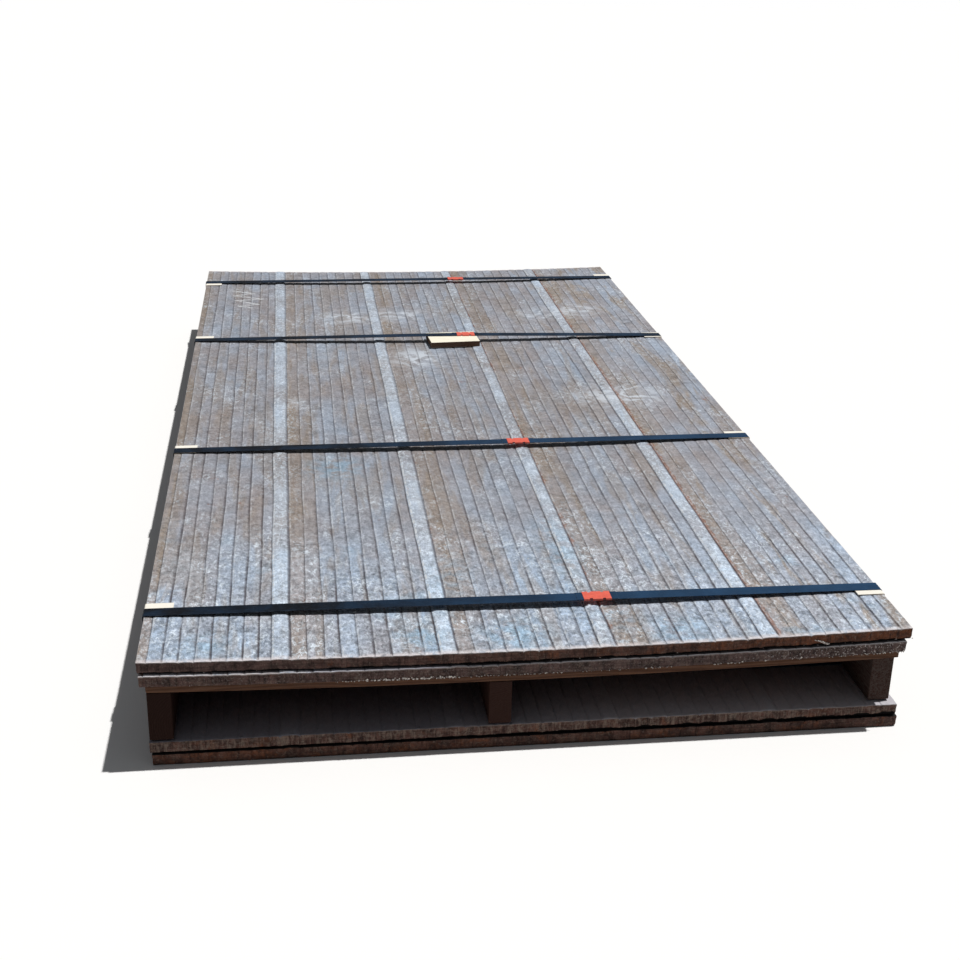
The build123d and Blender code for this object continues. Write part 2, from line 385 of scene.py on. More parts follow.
def timber_group():
    """Sawn timber about a pith along X: growth rings, saw strokes across them, and pores."""
    tree, given, out = new_group(
        "sawn_timber",
        [("Vector", VECTOR, None), ("Ring", FLOAT, 0.005), ("Saw", FLOAT, 300.0)],
        [("Grain", FLOAT), ("Pore", FLOAT), ("Height", FLOAT)])
    parts = axis_parts(given["Vector"])
    drawn_out = stretch(given["Vector"], (0.12, 1.0, 1.0))
    bend = cloud(drawn_out, 16, 4, 0.6) * 0.03
    reach = calc("SQRT", parts[1] ** 2.0 + parts[2] ** 2.0)
    turns = (reach + bend) / given["Ring"]
    grain = step(calc("SINE", turns * (2 * math.pi)), -0.9, 1.0)
    pore = step(cloud(stretch(given["Vector"], (0.03, 1.0, 1.0)), 420, 2, 0.8), 0.56, 0.72)
    wobble = cloud(given["Vector"], 30, 2) * 0.02
    stroke = calc("SINE", (parts[0] + wobble) * given["Saw"])
    feed(out["Grain"], grain)
    feed(out["Pore"], pore)
    raised = grain * 0.5 + stroke * 0.2
    feed(out["Height"], raised - pore * 0.6)
    return tree


def wear_group():
    """Where a sharp edge is rubbed: the difference between the true and a rounded normal, broken up."""
    tree, given, out = new_group(
        "edge_wear",
        [("Vector", VECTOR, None), ("Flat Normal", VECTOR, None), ("Round Normal", VECTOR, None),
         ("Break Up", FLOAT, 80.0)], [("Mask", FLOAT)])
    alike = vector_calc("DOT_PRODUCT", given["Flat Normal"], given["Round Normal"])
    edge = step(1.0 - alike, 0.005, 0.12)
    broken = step(cloud(given["Vector"], given["Break Up"], 3), 0.4, 0.62)
    feed(out["Mask"], edge * broken)
    return tree


MOTTLE = mottle_group()
RUST = rust_group()
RIPPLE = ripple_group()
TIMBER = timber_group()
WEAR = wear_group()


def new_material(name):
    """A material with its Principled shader; returns the material, its tree and the shader's sockets."""
    made = bpy.data.materials.new(name)
    made.use_nodes = True
    tree = made.node_tree
    return made, tree, tree.nodes["Principled BSDF"].inputs


def place_vector(tree):
    """Where a point of the surface is, in the object's own metres."""
    return add_node(tree, "ShaderNodeTexCoord", {})["Object"]


def mesh_value(tree, name, output="Fac"):
    """A value that the mesh carries at each point or face."""
    return add_node(tree, "ShaderNodeAttribute", {}, attribute_type="GEOMETRY", attribute_name=name)[output]


def finish(shader, colour, rough, normal, metallic=None, specular=None):
    """Feeds a material's shader."""
    sockets = {"Base Color": colour, "Roughness": rough, "Normal": normal, "Metallic": metallic,
               "Specular IOR Level": specular}
    for name, value in sockets.items():
        if value is not None:
            feed(shader[name], value)


def true_normal(tree):
    """Which way the surface faces."""
    return add_node(tree, "ShaderNodeNewGeometry", {})["Normal"]


def bump(height, distance, strength=1.0):
    """A Bump node's normal."""
    inputs = {"Height": height, "Distance": distance, "Strength": strength}
    return add_node(height.tree, "ShaderNodeBump", inputs)["Normal"]


def edge_mask(vector, radius, break_up):
    """The edge wear group with its two normals."""
    flat = true_normal(vector.tree)
    rounded = add_node(vector.tree, "ShaderNodeBevel", {"Radius": radius}, samples=4)["Normal"]
    return use_group(WEAR, vector, Flat_Normal=flat, Round_Normal=rounded, Break_Up=break_up)["Mask"]


def stroke_group():
    """How much of a point lies on a straight chalk stroke between two places, seen from above."""
    tree, given, out = new_group(
        "chalk_stroke",
        [("Vector", VECTOR, None), ("From", VECTOR, None), ("To", VECTOR, None), ("Width", FLOAT, 0.006)],
        [("Mask", FLOAT)])
    run = vector_calc("SUBTRACT", given["To"], given["From"])
    flat = vector_calc("MULTIPLY", given["Vector"], (1.0, 1.0, 0.0))
    reach = vector_calc("SUBTRACT", flat, given["From"])
    share = clamped(vector_calc("DOT_PRODUCT", reach, run) / vector_calc("DOT_PRODUCT", run, run))
    nearest = add_node(tree, "ShaderNodeVectorMath", {0: run, "Scale": share}, operation="SCALE")["Vector"]
    feed(out["Mask"], step(vector_calc("DISTANCE", reach, nearest), given["Width"], given["Width"] * 0.6))
    return tree


STROKE = stroke_group()


def chalk_mask(here):
    """Where the worn chalk zigzag lies."""
    low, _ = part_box("wear_plate_1")
    turns = [(low.x + x, low.y + y, 0.0) for x, y in CHALK_TURNS]
    total = 0.0
    for start, end in zip(turns, turns[1:]):
        total = larger(use_group(STROKE, here, From=start, To=end, Width=CHALK_HALF_WIDTH)["Mask"], total)
    worn = step(cloud(here, 90, 4, 0.75), 0.36, 0.56, 0.15, 1.0)
    return total * worn


def overlay_colour(here, run, tone, opening, closing, blue, front):
    """The beads' own colour: taupe to grey-blue, browner where a group opens, frosted in places."""
    patch = use_group(MOTTLE, stretch(here, (1.0, 0.4, 1.0)), Coarse=5.0, Fine=110.0)
    along = step(cloud(combine(tone * 60.0, run * 1.4), 1.9, 4, 0.62), 0.32, 0.68)
    right = step(axis_parts(here)[0], *BROWN_RIGHT_ZONE)

    cool = clamped(along * 0.5 + patch["Blotch"] * 0.4 - 0.1 + front * 0.35)
    colour = blend_colour(cool, BEAD_TAUPE, BEAD_BLUE)
    colour = blend_colour(opening * 0.75, colour, BEAD_TAUPE)
    brown = step(cloud(stretch(here, (1.0, 0.14, 1.0)), 17, 3, 0.6, 0.6), 0.48, 0.62)
    colour = blend_colour(brown * (0.45 + larger(opening * 0.25, right * 0.35)), colour, BEAD_BROWN)
    colour = blend_colour(opening * (0.6 - along * 0.5), colour, BEAD_BROWN)

    frost = step(cloud(stretch(here, (1.0, 0.5, 1.0)), 9, 5, 0.7, 0.4), 0.44, 0.64, 0.1, 0.8)
    frost = larger(frost + front * 0.35, closing)
    sharp = step(cloud(stretch(here, (1.0, 0.6, 1.0)), 105, 4, 0.75, 0.8), 0.49, 0.6)
    colour = blend_colour(frost * (sharp * 0.75), colour, BEAD_PALE)
    colour = blend_colour(closing * (0.15 + along * 0.4), colour, BEAD_CLOSING)

    temper = step(cloud(here, 6.5, 4, 0.62, 0.6), 0.56, 0.7) * 0.4 * (0.25 + front)
    temper = larger(temper, blue * step(cloud(here, 34, 3, 0.6), 0.36, 0.6))
    return blend_colour(temper * 0.55, colour, TEMPER_BLUE), along


def overlay_shade(here, share, ripple, along, front, closing):
    """Light and dark over the beads: a level that falls to the rear, waves, streaks, flecks and painted shade
    across each bead.
    """
    squeezed = stretch(here, (1.0, 0.6, 1.0))
    grit = use_group(MOTTLE, squeezed, Coarse=48.0, Fine=150.0)
    torn = vector_calc("ADD", squeezed, cloud(squeezed, 110, 2, 0.6) * 0.016)
    fleck = cells(torn, 105.0)[1]
    contrast = 0.75 + front * 1.2
    streak = cloud(stretch(here, (1.0, 0.05, 1.0)), 170, 2, 0.6)
    side, depth, _ = axis_parts(here)
    shade = step(depth, *REAR_TO_FRONT_LEVEL) + step(side, *RIGHT_LEVEL)
    for value, amount in ((grit["Speckle"], 0.36), (fleck, 0.24)):
        shade = shade + (value - 0.5) * amount * contrast
    for value, amount in ((grit["Blotch"], 0.18), (along, 0.13), (streak, 0.3)):
        shade = shade + (value - 0.5) * amount
    shade = shade + ripple * (0.2 + front * 0.14)
    # Painted shading: each bead lighter at its left lip and darker toward its right seam, as light falls on
    # it.
    shade = shade + (0.5 - share) * 0.12 + closing * 0.08
    grey = add_node(shade.tree, "ShaderNodeCombineColor", {0: shade, 1: shade, 2: shade})["Color"]
    return grey, grit["Speckle"]


def rub_swirl(here):
    """Curved sweeps that something dragged over the beads left in the dust."""
    swept = calc("FRACT", cloud(stretch(here, (0.7, 0.8, 1.0)), 8, 2, 0.45) * 8.0)
    swirl = step(abs(swept - 0.5), 0.3, 0.1) * step(cloud(here, 40, 4, 0.7), 0.38, 0.54)
    return clamped(swirl + 0.18)


def seam_groove(here, share, tone, opening, closing, dust_and_shade, front):
    """Where the dark valley between two beads shows: worn in places, filled where a group opens."""
    worn = step(cloud(stretch(here, (1.0, 0.4, 1.0)), 20, 4, 0.65), 0.34, 0.6, 0.25, 1.0)
    worn = worn * step(tone, 0.05, 0.6, 0.4, 1.0)
    side, depth, _ = axis_parts(here)
    faded = step(side, *FADED_RIGHT_ZONE) * step(front, 0.6, 0.0)
    worn = larger(worn * (1.0 - faded * 0.55), closing)
    valley = larger(step(share, 0.8, 0.95), step(share, 0.05, 0.0))
    hidden = opening * 0.75 * step(share, 0.4, 0.6)
    groove = valley * worn * (1.0 - hidden) * (1.0 - dust_and_shade * 0.7)
    return groove * (step(depth, *SEAM_DARKNESS) + front * 0.24)


def bead_lip_highlight(here, share, closing):
    """A painted highlight on the raised lip where a bead laps over the one on its left."""
    lip = step(share, 0.03, 0.07) * step(share, 0.19, 0.1)
    lip = lip * step(cloud(here, 50, 4, 0.7), 0.44, 0.6, 0.05, 1.0)
    return lip * (0.4 + closing * 0.6)


def dust_and_shade_colour(here, dust_and_shade):
    """Dust and painted shade on the plates below: greyer at the left, paler at the right, painted dark shade
    deep inside and painted black shade in the gap.
    """
    side, depth, _ = axis_parts(here)
    dust = blend_colour(step(side, *DUST_AND_SHADE_LEFT_TO_RIGHT), DUST_AND_SHADE_LEFT, DUST_AND_SHADE_RIGHT)
    dust = blend_colour(step(depth, *PAINTED_SHADE_FRONT_TO_DEEP), dust, PAINTED_DEEP_SHADE)
    return blend_colour(step(dust_and_shade, 1.0, 1.3), dust, PAINTED_GAP_SHADE)


def glint_mask(here, front):
    """Scattered bare metal points with painted white glints, dense in front and in patches."""
    distance, pick = cells(here, 62.0)
    dense = clamped(step(cloud(here, 2.2, 2), 0.44, 0.62, 0.1, 0.8) + front)
    reach = 0.06 + step(pick, 0.9, 1.0) * 0.2
    return step(distance, reach, reach * 0.5) * calc("GREATER_THAN", pick * dense, 0.9)


def overlay_material():
    """The welded face: beads, dark seams, rust by torch seams, rubs, dust, painted highlights, glints and
    shade.
    """
    made, tree, shader = new_material("weld_overlay")
    here = place_vector(tree)
    share, run, tone, closing, opening = (
        mesh_value(tree, name) for name in ("share", "run", "tone", "closing", "opening"))
    stain, scuff, blue, rim, dust_and_shade = (
        mesh_value(tree, name) for name in ("stain", "scuff", "blue", "rim", "dust_and_shade"))
    front = step(axis_parts(here)[1], *FRONT_ZONE)
    ripple = use_group(RIPPLE, here, Run=run, Share=share, Fineness=70.0)
    rust = use_group(RUST, stretch(here, (1.0, 0.5, 1.0)), Size=30.0, Amount=0.06 + stain * 0.9)
    glint = glint_mask(here, front)
    # A painted highlight along the plate's front rim, broken up.
    rim_highlight = rim * step(cloud(here, 60, 4, 0.7), 0.34, 0.52, 0.1, 1.0)

    colour, along = overlay_colour(here, run, tone, opening, closing, blue, front)
    grey, speckle = overlay_shade(here, share, ripple["Shade"], along, front, closing)
    colour = blend_colour(1.0, colour, grey, "MULTIPLY")
    colour = blend_colour(scuff * rub_swirl(here), colour, SCUFF_PALE)
    colour = blend_colour(rust["Mask"] * 0.6, colour, rust["Colour"])
    colour = blend_colour(seam_groove(here, share, tone, opening, closing, dust_and_shade, front), colour, SEAM_BROWN)
    colour = blend_colour(bead_lip_highlight(here, share, closing), colour, LIP_HIGHLIGHT_BRIGHT)
    colour = blend_colour(rim_highlight * 0.85, colour, RIM_HIGHLIGHT_PINK)
    # Dust, with painted shade deep in the opening and in the gaps, on the lower plates and the covered right
    # of the second.
    colour = blend_colour(clamped(dust_and_shade * 0.92), colour, dust_and_shade_colour(here, dust_and_shade))
    # Painted white glints on the bare metal points.
    colour = blend_colour(glint * (1.0 - dust_and_shade), colour, GLINT_HIGHLIGHT_WHITE)
    colour = blend_colour(chalk_mask(here) * 0.7, colour, PAINT_WHITE)

    rough = 0.64 + rust["Mask"] * 0.2 - speckle * 0.14 - glint * 0.3
    normal = bump(ripple["Height"] + speckle * 0.8 + glint * 2.0, 0.0009, 0.9)
    finish(shader, colour, rough, normal, metallic=glint * 0.5, specular=0.2)
    return made


def cut_edge_material():
    """Flame-cut sides: drag lines, a painted lip highlight, soot, rust, painted gap shade; each plate in its
    own shares.
    """
    made, tree, shader = new_material("flame_cut_edge")
    here = place_vector(tree)
    drop, warm, pale, gap, speckled, lip_highlight = (
        mesh_value(tree, name) for name in ("drop", "warm", "pale", "gap", "speckled", "lip_highlight"))
    drag = cloud(stretch(here, (1.0, 1.0, 0.12)), 210, 4, 0.75, 0.6)
    layers = cloud(stretch(here, (0.05, 0.05, 1.0)), 320, 3, 0.6)
    blotch = use_group(MOTTLE, here, Coarse=34.0, Fine=240.0)
    flake = step(cloud(here, 70, 5, 0.75, 0.8), 0.44, 0.66)
    rust = use_group(RUST, here, Size=18.0, Amount=warm * 0.6)
    bits = step(cloud(here, 190, 3, 0.75), 0.55, 0.66)
    specks = step(cloud(here, 230, 3, 0.7), 0.56, 0.63)
    gap_shade_height = gap * step(cloud(here, 34, 3), 0.3, 0.7, 0.6, 1.5)
    # A painted highlight along the top of the side, where the lip would catch the light.
    lip = step(drop, *LIP_HIGHLIGHT_DROP) * step(cloud(here, 34, 4, 0.7), 0.32, 0.5, 0.25, 1.0)

    colour = blend_colour(warm, CUT_BROWN, CUT_RED)
    colour = blend_colour(blotch["Blotch"] * 0.7, colour, CUT_SOOT)
    colour = blend_colour(flake * (0.25 + pale * 0.6), colour, CUT_TAN)
    colour = blend_colour(step(layers, 0.42, 0.62) * 0.35, colour, CUT_SOOT)
    colour = blend_colour(rust["Mask"] * 0.45, colour, rust["Colour"])
    colour = blend_colour(step(drag, 0.5, 0.66) * (pale * 0.6), colour, CUT_TAN)
    colour = blend_colour(step(drag, 0.5, 0.36) * 0.6, colour, CUT_SOOT)
    colour = blend_colour(bits * 0.4, colour, CUT_TAN)
    # Pale specks toward the right end, painted as highlights.
    colour = blend_colour(specks * speckled * 0.8, colour, CUT_LIP_HIGHLIGHT)
    # Painted shade at the foot of a side, where the gap under the plate lies dark.
    colour = blend_colour(step(drop + gap_shade_height, *PAINTED_GAP_SHADE_DROP), colour, PAINTED_GAP_SHADE)
    colour = blend_colour(lip * lip_highlight, colour, CUT_LIP_HIGHLIGHT)
    normal = bump(drag + layers * 0.5 + flake * 0.5, 0.0012, 0.9)
    finish(shader, colour, step(blotch["Speckle"], 0.0, 1.0, 0.66, 0.88), normal, specular=0.1)
    return made


def mill_scale_material():
    """The plate's rolled underside: dark blue-grey scale, flaking to rust."""
    made, tree, shader = new_material("mill_scale")
    here = place_vector(tree)
    patch = use_group(MOTTLE, here, Coarse=5.0, Fine=70.0)
    colour = blend_colour(patch["Blotch"] * 0.6, MILL_SCALE, MILL_SCALE_WORN)
    rust = use_group(RUST, here, Size=9.0, Amount=0.5)
    colour = blend_colour(rust["Mask"] * 0.7, colour, rust["Colour"])
    finish(shader, colour, step(patch["Speckle"], 0.0, 1.0, 0.5, 0.72), bump(patch["Speckle"], 0.0003, 0.7),
           metallic=0.4 - rust["Mask"] * 0.35)
    return made


def dross_material():
    """Beads of dross that froze along the cut edge, pale dross whose paleness is partly a painted highlight.
    """
    made, tree, shader = new_material("frozen_dross")
    here = place_vector(tree)
    patch = use_group(MOTTLE, here, Coarse=120.0, Fine=900.0)
    broken = step(cloud(here, 240, 3, 0.7, 0.5), 0.42, 0.54)
    colour = blend_colour(broken, CUT_BROWN, DROSS_PALE_HIGHLIGHT)
    finish(shader, colour, step(patch["Speckle"], 0.0, 1.0, 0.38, 0.6), bump(patch["Speckle"], 0.0002, 0.6),
           metallic=0.3)
    return made


def timber_material(name, dark, light, ring, saw, weather, contrast=1.0, along_x=False, side_shade=0.0):
    """Sawn wood with rings about its own pith, weathered by an amount; upright sides can be painted darker as
    shade.
    """
    made, tree, shader = new_material(name)
    here = place_vector(tree)
    pith = mesh_value(tree, "pith", "Vector")
    grain_space = vector_calc("SUBTRACT", here, pith)
    if not along_x:
        across, along, up = axis_parts(grain_space)
        grain_space = combine(along, across, up)
    wood = use_group(TIMBER, grain_space, Ring=ring, Saw=saw)
    patch = use_group(MOTTLE, stretch(grain_space, (0.25, 1.0, 1.0)), Coarse=16.0, Fine=260.0)
    upright = step(abs(axis_parts(true_normal(tree))[2]), 0.7, 0.4)
    colour = blend_colour(wood["Grain"] * contrast, dark, light)
    colour = blend_colour(patch["Blotch"] * 0.55, colour, dark)
    colour = blend_colour(wood["Pore"] * (0.4 * contrast), colour, WOOD_PORE)
    colour = blend_colour(patch["Speckle"] * weather, colour, WOOD_GREYED)
    colour = blend_colour(edge_mask(here, 0.0016, 60.0) * 0.5, colour, light)
    # Painted shade: the upright sides darker than the top, by the side_shade amount.
    colour = blend_colour(upright * (0.93 + patch["Blotch"] * 0.07) * side_shade, colour, PAINTED_SIDE_SHADE)
    rough = step(wood["Grain"], 0.0, 1.0, 0.86, 0.7)
    finish(shader, colour, rough, bump(wood["Height"], 0.0007, 0.4), specular=0.12)
    return made


def strap_material():
    """Blue-black lacquered strap with painted shade to the left and rear, rubbed bright at edges, scratched
    along its run.
    """
    made, tree, shader = new_material("lacquered_strap")
    here = place_vector(tree)
    side, depth, _ = axis_parts(here)
    patch = use_group(MOTTLE, here, Coarse=12.0, Fine=210.0)
    # Painted shade, darker toward the left and the rear, plus blotches of the lacquer.
    dark = larger(step(side, *STRAP_PAINTED_SHADE_LEFT), step(depth, *STRAP_PAINTED_SHADE_REAR))
    colour = blend_colour(clamped(dark + patch["Blotch"] * 0.3), STRAP_NAVY, STRAP_BLACK)
    scratch = step(cloud(stretch(here, (0.04, 1.0, 1.0)), 900, 2, 0.8), 0.62, 0.72)
    colour = blend_colour(scratch * 0.35, colour, STRAP_SCRATCHED)
    rub = edge_mask(here, 0.0008, 120.0)
    colour = blend_colour(rub * 0.7, colour, STRAP_RUBBED)
    finish(shader, colour, step(patch["Speckle"], 0.0, 1.0, 0.46, 0.62), bump(patch["Speckle"], 0.0001, 0.5),
           metallic=rub * 0.6, specular=0.12)
    return made


def seal_material():
    """Coral paint on the crimped seals, chipped to steel where the tool bit."""
    made, tree, shader = new_material("coral_seal_paint")
    here = place_vector(tree)
    patch = use_group(MOTTLE, here, Coarse=90.0, Fine=700.0)
    colour = blend_colour(patch["Blotch"] * 0.4, SEAL_CORAL, SEAL_DEEP)
    chip = larger(edge_mask(here, 0.0007, 160.0), step(cloud(here, 420, 3, 0.7), 0.68, 0.74))
    colour = blend_colour(chip * 0.8, colour, SEAL_STEEL)
    normal = bump(patch["Speckle"] - chip, 0.00015, 0.7)
    finish(shader, colour, step(patch["Speckle"], 0.0, 1.0, 0.36, 0.55), normal, metallic=chip * 0.7)
    return made


def guard_material():
    """Cream laminated board: fibrous, scuffed, with its brown plies showing at the cut ends."""
    made, tree, shader = new_material("laminated_board")
    here = place_vector(tree)
    patch = use_group(MOTTLE, here, Coarse=40.0, Fine=600.0)
    end = step(abs(axis_parts(true_normal(tree))[1]), 0.6, 0.9)
    plies = step(cloud(stretch(here, (1.0, 0.2, 1.0)), 700, 2), 0.4, 0.6)
    colour = blend_colour(patch["Blotch"] * 0.2, BOARD_CREAM, BOARD_SOILED)
    colour = blend_colour(end * (0.4 + plies * 0.5), colour, BOARD_CORE)
    colour = blend_colour(edge_mask(here, 0.001, 90.0) * 0.5, colour, BOARD_CORE)
    finish(shader, colour, step(patch["Speckle"], 0.0, 1.0, 0.7, 0.85), bump(patch["Speckle"], 0.00015, 0.6))
    return made


# Shape of the beads and the flame-cut sides, in metres; shares run from a bead's left seam to its right one.
SECOND_OPENING = 0.6
LEAST_LAST_BEAD = 0.004
ACROSS = (0.0, 0.06, 0.16, 0.34, 0.55, 0.76, 0.9, 0.995)
SIDE_COLUMN_INSET = 0.0012
SIDE_KEPT_FREE = 0.002
SEAM_DIP = 0.0004
LIP_RISE = 0.0006
LIP_SHARE = 0.3
CROWN_FLATNESS = 3.6
SEAM_WANDER = 0.0032
SEAM_WANDER_FINE = 0.0009
LUMP_LONG = 0.0005
LUMP_SHORT = 0.0004
RIM_WIDTH = 0.004
RIM_DROP = 0.0004
RIM_WAVE = 0.0006
NOTCH = (0.0, 0.0006)
DEEP_NOTCH = (0.001, 0.003)
DEEP_NOTCH_SHARE = 0.12
SEAM_RUST = (0.15, 0.25, 0.5, 1.0)
SEAM_RUST_REACH = 0.01
EDGE_SLUMP = (0.3, 0.62, 0.88)
SLUMPED_HEIGHT = 0.0009
WALL_DROPS = (0.0009, 0.0024, 0.006, 0.011, 0.0165, 0.0215)
WALL_OUT = (-0.0001, 0.0, -0.0004, -0.0006, -0.0004, -0.0014, -0.0024)
WALL_ROUGHNESS = 0.0005
WALL_LEAST_HEIGHT = 0.0006
DRAG_LEAN = 0.12


def bead_list(width):
    """Every bead across a plate: left seam, right seam, and whether it closes or opens a torch group."""
    beads = []
    start, group_end = -FIRST_BEAD_TRIM, 0.0
    for span, lap in zip(TORCH_SPANS, CLOSING_LAPS):
        group_end += span
        count = round((group_end - start) / BEAD_PITCH)
        pitch = (group_end - start) / count
        for i in range(count):
            closing = i == count - 1
            opening = 1.0 if i == 0 else SECOND_OPENING if i == 1 and beads[1:] else 0.0
            left = start + i * pitch - (lap if closing else 0.0)
            right = start + (i + 1) * pitch - (lap if i == count - 2 else 0.0)
            beads.append((left, right, closing, opening))
        start = group_end
    opening = 1.0
    while start < width - LEAST_LAST_BEAD:
        beads.append((start, start + BEAD_PITCH, False, opening))
        start += BEAD_PITCH
        opening = SECOND_OPENING if opening == 1.0 else 0.0
    return beads


def wave(x, y, z):
    """Smooth noise between -1 and 1."""
    return noise.noise(Vector((x, y, z)))


def bead_height(share, closing):
    """Height of a bead's skin over its seam: it laps over the bead on its left with a raised lip."""
    rise = BEAD_CROWN + SEAM_DIP + (CLOSING_RISE if closing else 0.0)
    return rise * (1 - abs(2 * share - 1) ** CROWN_FLATNESS) + LIP_RISE * max(0.0, 1 - share / LIP_SHARE)


def sag(x):
    """How far the hollow plates and the deck lie below their side edges, at a distance from the middle."""
    return -PLATE_HOLLOW * (1 - (2 * x / PLATE_WIDTH) ** 2)


def row_places(y0, y1, fine, coarse, fine_reach):
    """Distances along the beads: close rows near the ends, wider ones between."""
    count = max(2, round(fine_reach / fine))
    near = [y0 + fine_reach * i / count for i in range(count + 1)]
    middle = max(1, round((y1 - y0 - 2 * fine_reach) / coarse))
    span = (y1 - y0 - 2 * fine_reach) / middle
    between = [y0 + fine_reach + span * i for i in range(1, middle)]
    far = [y0 + y1 - y for y in reversed(near)]
    rows = near + between + far
    return [rows[0], rows[0] + RIM_WIDTH] + rows[1:-1] + [rows[-1] - RIM_WIDTH, rows[-1]]


def bead_columns(width, turned):
    """The beads and the columns across a plate; a column is a place, a share of its bead and its number."""
    beads = bead_list(width)
    if turned:
        beads = [(width - b, width - a, closing, opening) for a, b, closing, opening in reversed(beads)]
    columns = []
    for number, (a, b, closing, opening) in enumerate(beads):
        for share in ACROSS:
            x = a + (b - a) * share
            if SIDE_KEPT_FREE < x < width - SIDE_KEPT_FREE:
                columns.append((x, share, number))
    left = [(x, *columns[0][1:]) for x in (0.0, SIDE_COLUMN_INSET)]
    right = [(x, *columns[-1][1:]) for x in (width - SIDE_COLUMN_INSET, width)]
    return beads, left + columns + right


def spots(points, low, marks):
    """How strongly each point is touched by the nearest of several soft round marks."""
    soft = np.zeros(len(points))
    for x, y, reach_x, reach_y, strength in marks:
        away = np.hypot((points[:, 0] - low.x - x) / reach_x, (points[:, 1] - low.y - y) / reach_y)
        soft = np.maximum(soft, strength * np.clip(1.25 - away, 0, 1))
    return soft


class PlateForm:
    """A wear plate's dressed mesh: wandering beads on top, flame-cut sides and a plain underside."""

    def __init__(self, name, turned, rows_at, seed):
        self.low, self.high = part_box(name)
        self.seed = seed
        self.width = self.high.x - self.low.x
        self.hollow = self.high.z - self.low.z > PLATE_THICKNESS + PLATE_HOLLOW / 2
        self.base = self.low.z + (PLATE_HOLLOW if self.hollow else 0.0)
        self.beads, self.columns = bead_columns(self.width, turned)
        self.rows = row_places(self.low.y, self.high.y, *rows_at)
        own = random.Random(seed)
        self.tones = [own.random() for _ in self.beads]
        self.notches = []
        for _ in self.beads:
            notch = own.uniform(*NOTCH)
            deeper = own.random() < DEEP_NOTCH_SHARE
            self.notches.append(notch + (own.uniform(*DEEP_NOTCH) if deeper else 0.0))
        self.points, self.faces, self.materials, self.face_beads = [], [], [], []
        self.values = {"share": [], "run": [], "drop": [], "rim": []}
        self.add_top()
        self.add_underside(self.add_walls())

    def hang(self, x):
        """How far the plate hangs below its side edges."""
        return sag(x) if self.hollow else 0.0

    def add_point(self, place, share, run, drop, rim):
        """Adds a point with what its materials read, and returns its number."""
        self.points.append(place)
        for name, value in (("share", share), ("run", run), ("drop", drop), ("rim", rim)):
            self.values[name].append(value)
        return len(self.points) - 1

    def add_face(self, corners, material, bead=0):
        """Adds a face of a material that belongs to a bead."""
        self.faces.append(corners)
        self.materials.append(material)
        self.face_beads.append(bead)

    def add_top(self):
        """The welded face, row by row; beads slump at both ends and break off at the rim."""
        seed, last_row, last_column = self.seed, len(self.rows) - 1, len(self.columns) - 1
        for j, y in enumerate(self.rows):
            from_end = min(j, last_row - j)
            standing = EDGE_SLUMP[from_end] if from_end < len(EDGE_SLUMP) else 1.0
            for i, (x, share, number) in enumerate(self.columns):
                at_rim = from_end == 0 or i in (0, last_column)
                place = self.low.x + x
                seam = abs(2 * share - 1)
                if 1 < i < last_column - 1:
                    drift = SEAM_WANDER * wave(x * 31 + seed * 7, y * 3.4, seed)
                    drift += SEAM_WANDER_FINE * wave(x * 31 + seed * 7, y * 24, seed + 9)
                    place += drift * seam ** 2
                lump = LUMP_LONG * wave(number * 3.1 + seed, y * 14, x * 30)
                lump += LUMP_SHORT * wave(x * 90, y * 70, seed * 3.0)
                height = standing * bead_height(share, self.beads[number][2])
                height += (1 - standing) * SLUMPED_HEIGHT
                z = self.base + PLATE_THICKNESS - BEAD_CROWN - SEAM_DIP + height + lump
                if at_rim:
                    z -= RIM_DROP + RIM_WAVE * wave(x * 60, y * 60, seed + 4)
                    z -= self.notches[number] * seam ** 6
                # How strongly the painted rim highlight lies on this point.
                rim = 1.0 if at_rim else 0.75 if from_end == 1 else 0.0
                run = y + 0.3 * self.tones[number]
                self.add_point((place, y, z + self.hang(place)), share, run, 0.0, rim)
        for j in range(last_row):
            for i in range(last_column):
                here, behind = j * (last_column + 1) + i, (j + 1) * (last_column + 1) + i
                self.add_face((here, here + 1, behind + 1, behind), 0, self.columns[i][2])

    def add_walls(self):
        """The flame-cut sides, ring by ring down from the rim; returns the lowest ring."""
        wide, deep = len(self.columns), len(self.rows)
        rim = list(range(wide)) + [(j + 1) * wide - 1 for j in range(1, deep)]
        rim += [(deep - 1) * wide + i for i in range(wide - 2, -1, -1)]
        rim += [j * wide for j in range(deep - 2, 0, -1)]
        above = rim
        for drop, out in zip(WALL_DROPS + (None,), WALL_OUT):
            ring = [self.add_wall_point(self.points[top], drop, out) for top in rim]
            for k in range(len(rim)):
                n = (k + 1) % len(rim)
                self.add_face((above[k], ring[k], ring[n], above[n]), 1)
            above = ring
        return above

    def add_wall_point(self, top, drop, out):
        """A point of a flame-cut side below a point of the rim, at a drop, or at the foot if that is None."""
        x, y, z = top
        side_x = -1 if abs(x - self.low.x) < 1e-5 else 1 if abs(x - self.high.x) < 1e-5 else 0
        side_y = -1 if abs(y - self.low.y) < 1e-6 else 1 if abs(y - self.high.y) < 1e-6 else 0
        floor = self.base + self.hang(x)
        depth = drop if drop is not None else z - floor
        lean = DRAG_LEAN * depth
        push = out + WALL_ROUGHNESS * wave((x + lean) * 160, (y + lean) * 160, depth * 40 + self.seed)
        height = floor if drop is None else max(z - depth, floor + WALL_LEAST_HEIGHT)
        return self.add_point((x + side_x * push, y + side_y * push, height), 0.5, y, depth, 0.0)

